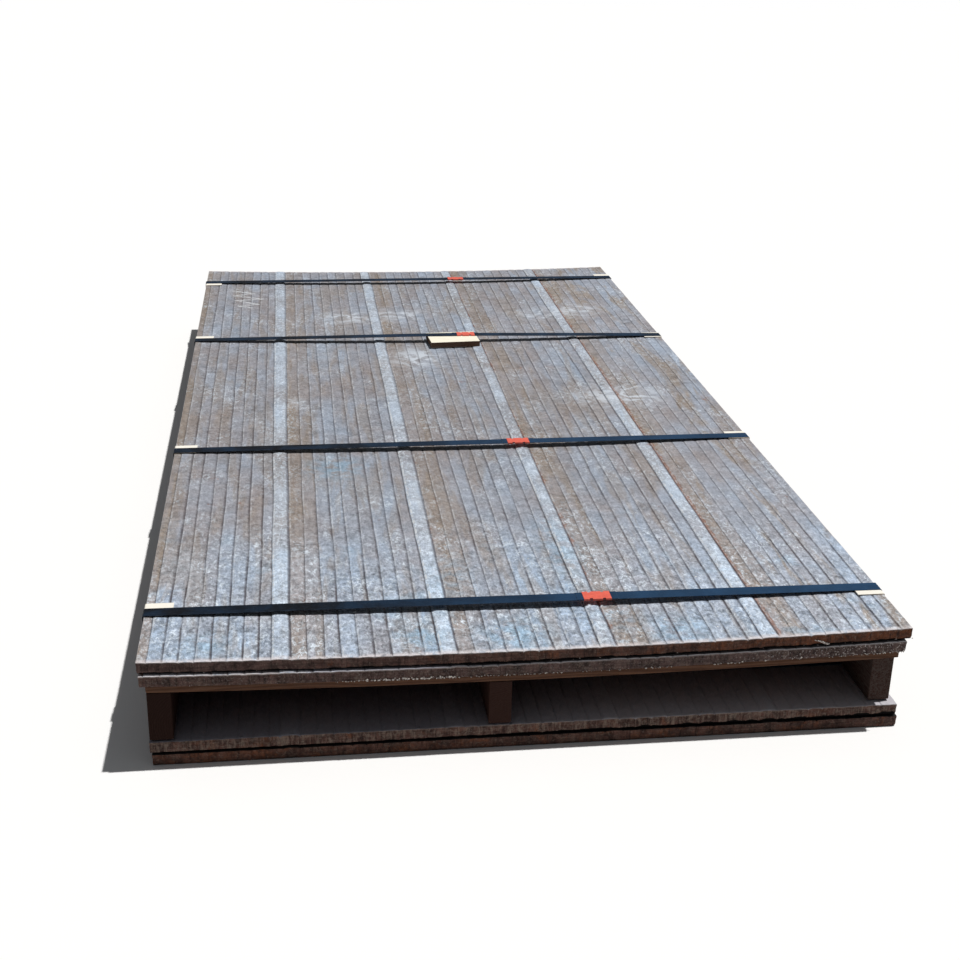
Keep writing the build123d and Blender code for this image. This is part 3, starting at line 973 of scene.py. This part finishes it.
    def add_underside(self, ring):
        """Faces that close the underside, one strip per column, from the lowest ring of points."""
        wide, deep = len(self.columns), len(self.rows)
        last = wide - 1
        front = ring[:wide]
        back = [ring[2 * wide + deep - 3 - i] for i in range(wide)]
        right_side = [ring[last + j] for j in range(1, deep - 1)]
        left_side = [ring[-j] for j in range(1, deep - 1)]
        for i in range(1, last - 1):
            self.add_face((back[i], back[i + 1], front[i + 1], front[i]), 2)
        self.add_face((back[0], back[1], front[1], front[0], *left_side), 2)
        self.add_face((back[last - 1], back[last], *reversed(right_side), front[last], front[last - 1]), 2)


def plate_mesh(name, turned, rows_at, seed, marked, dust_and_shade, warm, pale, lip_highlight, rim, gap, speckled):
    """A wear plate's mesh with all that its materials read; pairs are the values at its left and right."""
    form = PlateForm(name, turned, rows_at, seed)
    at = np.array(form.points)
    stain = np.zeros(len(at))
    for strength, (_, seam, *_) in zip(SEAM_RUST, (bead for bead in form.beads if bead[2])):
        x = form.low.x + seam
        away = np.where(at[:, 0] > x, at[:, 0] - x, 3 * (x - at[:, 0]))
        stain = np.maximum(stain, strength * np.clip(1 - away / SEAM_RUST_REACH, 0, 1))
    across = (at[:, 0] - form.low.x) / form.width
    by_point = {**form.values, "stain": stain, "warm": np.interp(across, (0, 1), warm),
                "pale": np.full(len(at), pale), "dust_and_shade": np.interp(across, (0.12, 0.4), dust_and_shade),
                "gap": np.interp(across, (0, 1), gap), "lip_highlight": np.interp(across, (0, 0.55), lip_highlight),
                "rim": np.array(form.values["rim"]) * np.interp(across, (0.1, 0.6), rim),
                "speckled": speckled * np.interp(across, (0.75, 0.95), (0.15, 1.0)),
                "scuff": spots(at, form.low, SCUFFS if marked else ()),
                "blue": spots(at, form.low, BLUE_PATCHES if marked else ())}
    by_face = {"tone": [form.tones[b] for b in form.face_beads],
               "closing": [float(form.beads[b][2]) for b in form.face_beads],
               "opening": [form.beads[b][3] for b in form.face_beads]}
    mesh = bpy.data.meshes.new(name + "_detail")
    mesh.from_pydata(form.points, [], form.faces)
    for domain, table in (("POINT", by_point), ("FACE", by_face)):
        for value_name, values in table.items():
            mesh.attributes.new(value_name, "FLOAT", domain).data.foreach_set("value", values)
    mesh.polygons.foreach_set("material_index", form.materials)
    mesh.polygons.foreach_set("use_smooth", [m == 0 for m in form.materials])
    mesh.update()
    return mesh


def show(name, mesh, materials, stands_for=None):
    """Makes an object of a mesh, gives it its materials and lets it ride on the stack."""
    made = bpy.data.objects.new(name, mesh)
    bpy.context.scene.collection.objects.link(made)
    for material in materials:
        mesh.materials.append(material)
    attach(made, "root")
    if stands_for:
        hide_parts(stands_for)
    return made


def make_plates():
    """All four wear plates; rows are close where a plate's top is seen and wide elsewhere."""
    materials = [overlay_material(), cut_edge_material(), mill_scale_material()]
    # dust_and_shade: dust with painted shade on plates that lie in shade; above 1 it paints a gap's black
    # shade.
    settings = {
        "wear_plate_1": dict(
            turned=False, rows_at=(0.014, 0.0155, 0.25), seed=1, marked=True, dust_and_shade=(0.0, 0.0),
            warm=(0.1, 1.0), pale=0.0, lip_highlight=(0.3, 0.3), rim=(1.0, 1.0), gap=(0.003, 0.003), speckled=0.0),
        "wear_plate_2": dict(
            turned=True, rows_at=(0.02, 0.15, 0.1), seed=2, marked=False, dust_and_shade=(0.0, 1.2),
            warm=(0.3, 0.0), pale=0.15, lip_highlight=(1.0, 0.25), rim=(0.9, 0.05), gap=(0.0, 0.0), speckled=1.0),
        "wear_plate_3": dict(
            turned=False, rows_at=(0.02, 0.05, 0.4), seed=3, marked=False, dust_and_shade=(1.0, 1.0),
            warm=(0.5, 0.5), pale=1.0, lip_highlight=(0.0, 0.2), rim=(0.1, 0.1), gap=(0.0006, 0.006),
            speckled=0.0),
        "wear_plate_4": dict(
            turned=True, rows_at=(0.02, 0.15, 0.1), seed=4, marked=False, dust_and_shade=(1.3, 1.3),
            warm=(0.7, 0.5), pale=0.1, lip_highlight=(0.0, 0.0), rim=(0.0, 0.0), gap=(0.001, 0.002), speckled=0.0)}
    for name, looks in settings.items():
        show(name + "_detail", plate_mesh(name, **looks), materials, name)


# Sawn timber, in metres: how far its long edges are rounded and how its faces wave.
TIMBER_ROUNDING = 0.0022
TIMBER_WAVES_PER_M = 5
PITH_REACH = (0.02, 0.09)
BEARER_CUTS = 70
BEARER_WARP = 0.0012
BOARD_CUTS = 30
BOARD_WARP = 0.0016


def timber_mesh(name, length_axis, cuts, warp, seed):
    """A sawn timber: rounded edges, a little wavy, and hanging with the deck if it lies across."""
    low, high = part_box(name)
    across = length_axis == 0
    if across:
        high.z = low.z + PLATE_HOLLOW + DECK_THICKNESS
        low.z = low.z + PLATE_HOLLOW
    centre, size = (low + high) / 2, high - low
    form = bmesh.new()
    bmesh.ops.create_cube(form, matrix=Matrix.Translation(centre) @ Matrix.Diagonal((*size, 1.0)))
    long_edges = [e for e in form.edges
                  if abs((e.verts[0].co - e.verts[1].co)[length_axis]) > 0.5 * size[length_axis]]
    bmesh.ops.subdivide_edges(form, edges=long_edges, cuts=cuts, use_grid_fill=True)
    corners = [e for e in form.edges if len(e.link_faces) == 2 and e.calc_face_angle(0) > 0.8]
    bmesh.ops.bevel(form, geom=corners, offset=TIMBER_ROUNDING, segments=2, profile=0.5, affect="EDGES")
    side_axis = 1 - length_axis
    for vertex in form.verts:
        moved = vertex.co.copy()
        away = vertex.co[side_axis] - centre[side_axis]
        if abs(away) > 0.3 * size[side_axis]:
            along = vertex.co[length_axis] * TIMBER_WAVES_PER_M
            moved[side_axis] -= math.copysign(warp * (0.5 + 0.5 * wave(along, side_axis * 9.0, seed)), away)
        if across:
            moved.z += sag(vertex.co.x)
        vertex.co = moved
    mesh = mesh_of(form, name + "_sawn")
    own = random.Random(seed)
    pith = [centre[a] + own.choice((-1, 1)) * own.uniform(*PITH_REACH) for a in range(3)]
    pith[length_axis] = own.uniform(-9, 9)
    values = mesh.attributes.new("pith", "FLOAT_VECTOR", "POINT").data
    values.foreach_set("vector", pith * len(mesh.vertices))
    return mesh


def mesh_of(form, name, smooth=False):
    """Turns a form into a mesh."""
    mesh = bpy.data.meshes.new(name)
    form.to_mesh(mesh)
    form.free()
    mesh.polygons.foreach_set("use_smooth", [smooth] * len(mesh.polygons))
    return mesh


def named(start):
    """The names of the CAD pieces that start in one way."""
    return [name for name in cad if name.startswith(start)]


def make_pallet():
    """Bearers and deck boards as sawn timbers."""
    deck_wood = timber_material(
        "deck_board_brown", DECK_DARK, DECK_LIGHT, 0.005, 1100.0, 0.12, 0.8, along_x=True)
    bearers = (("left", 0.0, 0.62), ("middle", 0.06, 1.0), ("right", 0.5, 1.1))
    for seed, (side, weathered, tone) in enumerate(bearers, 11):
        name = "bearer_" + side
        dark, light = ((*(tone * part for part in colour[:3]), 1.0) for colour in (BEARER_DARK, BEARER_LIGHT))
        contrast = 0.15 + 0.6 * weathered
        wood = timber_material(name + "_timber", dark, light, 0.004, 900.0, weathered, contrast)
        mesh = timber_mesh(name, 1, BEARER_CUTS, BEARER_WARP, seed)
        show(name + "_sawn", mesh, [wood], name)
    for name in sorted(named("deck_board_")):
        seed = 20 + int(name.rsplit("_", 1)[1])
        mesh = timber_mesh(name, 0, BOARD_CUTS, BOARD_WARP, seed)
        show(name + "_sawn", mesh, [deck_wood], name)


def dress_cad(names, material):
    """Gives CAD pieces whose shape is right their finish."""
    for name in names:
        piece = cad[name]
        piece.data.materials.clear()
        piece.data.materials.append(material)


def add_drop(form, centre, reach):
    """A round drop, squashed to its reach along each axis."""
    squash = Matrix.Diagonal((*reach, 1.0))
    bmesh.ops.create_icosphere(form, subdivisions=2, radius=1.0, matrix=Matrix.Translation(centre) @ squash)


def dross_mesh(name, plate, ridges, elsewhere, seed):
    """Frozen drops along a plate's lower edges: ridges on the front, single drops on the other sides."""
    low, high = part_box(plate)
    base = low.z + PLATE_HOLLOW
    own = random.Random(seed)
    form = bmesh.new()
    for start, end, count, size in ridges:
        for i in range(count):
            x = low.x + start + (end - start) * (i + own.uniform(-1.5, 1.5)) / count
            radius = size * own.uniform(*DROSS_RADIUS)
            z = base + sag(x) + (0.6 * radius + size * DROSS_CLIMB * own.random() ** 3)
            reach = (radius * own.uniform(0.9, 1.7), size * DROSS_DEPTH, radius)
            add_drop(form, Vector((x, low.y + DROSS_SUNK, z)), reach)
    for _ in range(elsewhere):
        size = own.uniform(*SINGLE_DROP)
        if own.random() < 0.5:
            x = own.uniform(low.x, high.x)
            centre = Vector((x, high.y - SINGLE_SUNK, base + sag(x) + size))
        else:
            side = own.choice((low.x + SINGLE_SUNK, high.x - SINGLE_SUNK))
            centre = Vector((side, own.uniform(low.y, high.y), base + size))
        add_drop(form, centre, (size, size, size * own.uniform(0.8, 2.0)))
    return mesh_of(form, name, smooth=True)


def splash_mesh():
    """One large splash that ran down the top plate's front face near its right end."""
    low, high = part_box("wear_plate_1")
    own = random.Random(61)
    form = bmesh.new()
    start = Vector((low.x + SPLASH_FROM_LEFT, low.y + DROSS_SUNK, high.z - SPLASH_BELOW_RIM))
    for i in range(SPLASH_DROPS):
        share = i / (SPLASH_DROPS - 1)
        fall = -SPLASH_FALL * share ** 1.4 + sag(start.x) - sag(low.x)
        centre = start + Vector((SPLASH_RUN * share, 0.0, fall))
        centre += Vector((own.uniform(-0.001, 0.001), 0.0, own.uniform(-0.0008, 0.0008)))
        swell = 0.7 + 0.9 * share
        add_drop(form, centre, (0.0022 * swell, DROSS_DEPTH, own.uniform(0.0010, 0.0016) * swell))
    return mesh_of(form, "dross_splash", smooth=True)


def make_dross():
    """Drops along the cut edges of the two upper plates."""
    material = dross_material()
    top = dross_mesh("dross_drops_top", "wear_plate_1", DROSS_TOP, 40, 51)
    second = dross_mesh("dross_drops_second", "wear_plate_2", DROSS_SECOND, 60, 52)
    for mesh in (top, second):
        show(mesh.name, mesh, [material])
    show("dross_splash", splash_mesh(), [material])


def make_camera():
    """The camera where the photograph was taken from."""
    low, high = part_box("wear_plate_1")
    corner = Vector((low.x, low.y, low.z + PLATE_HOLLOW + PLATE_THICKNESS))
    pitch, yaw, roll = (math.radians(a) for a in (CAMERA_PITCH_DOWN, CAMERA_YAW_RIGHT, CAMERA_ROLL))
    forward = Vector((math.sin(yaw) * math.cos(pitch), math.cos(yaw) * math.cos(pitch), -math.sin(pitch)))
    level_right = Vector((math.cos(yaw), -math.sin(yaw), 0))
    level_up = level_right.cross(forward)
    right = math.cos(roll) * level_right + math.sin(roll) * level_up
    up = math.cos(roll) * level_up - math.sin(roll) * level_right
    data = bpy.data.cameras.new("camera")
    data.sensor_width = SENSOR_MM
    data.lens = FOCAL_PIXELS / PHOTO_SIDE_PIXELS * SENSOR_MM
    data.clip_end = 100
    made = bpy.data.objects.new("camera", data)
    bpy.context.scene.collection.objects.link(made)
    turned = Matrix((right, up, -forward)).transposed().to_4x4()
    made.matrix_world = Matrix.Translation(corner + CAMERA_FROM_CORNER) @ turned
    bpy.context.scene.camera = made


def make_lights():
    """A steep key from behind on the right, and a soft dome that the camera sees as white."""
    key = bpy.data.lights.new("key", "SUN")
    key.energy = KEY_STRENGTH
    key.angle = math.radians(1.2)
    key.color = (1.0, 0.985, 0.96)
    lamp = bpy.data.objects.new("key", key)
    bpy.context.scene.collection.objects.link(lamp)
    lamp.rotation_euler = Vector(TO_KEY_LIGHT).to_track_quat("Z", "Y").to_euler()
    world = bpy.data.worlds.new("studio")
    bpy.context.scene.world = world
    world.use_nodes = True
    tree = world.node_tree
    rays = add_node(tree, "ShaderNodeLightPath", {})
    mirrored = rays["Is Glossy Ray"] * MIRRORED_SKY
    height = axis_parts(add_node(tree, "ShaderNodeTexCoord", {})["Generated"])[2]
    dome = step(height, 0.2, 1.0, DOME_LOW, DOME_HIGH)
    back = tree.nodes["Background"]
    seen = rays["Is Camera Ray"]
    feed(back.inputs["Color"], blend_colour(seen, SKY_BLUISH, even_grey(1.0)))
    feed(back.inputs["Strength"], larger(seen, larger(mirrored, dome)))


def make_floor():
    """A pale floor that keeps the stack's shadow."""
    bpy.ops.mesh.primitive_plane_add(size=40, location=(0, 0, -0.0003))
    floor = bpy.context.object
    floor.name = "floor"
    made, tree, shader = new_material("pale_floor")
    seen = add_node(tree, "ShaderNodeLightPath", {})["Is Camera Ray"]
    feed(shader["Base Color"], blend_colour(seen, even_grey(FLOOR_BOUNCE), even_grey(FLOOR_SEEN)))
    shader["Roughness"].default_value = 1.0
    shader["Specular IOR Level"].default_value = 0.0
    floor.data.materials.append(made)


make_camera()
make_lights()
make_floor()
make_plates()
make_pallet()
make_dross()
dress_cad([name for name in named("strap_") if "seal" not in name], strap_material())
dress_cad(named("strap_seal_"), seal_material())
dress_cad(named("edge_guard_"), guard_material())
# The packing block, with painted shade on its upright sides.
block_wood = timber_material(
    "fresh_block_wood", BLOCK_DARK, BLOCK_LIGHT, 0.004, 1500.0, 0.0, 0.9, along_x=True, side_shade=1.0)
dress_cad(["packing_block"], block_wood)
bpy.context.scene.view_settings.view_transform = "Standard"
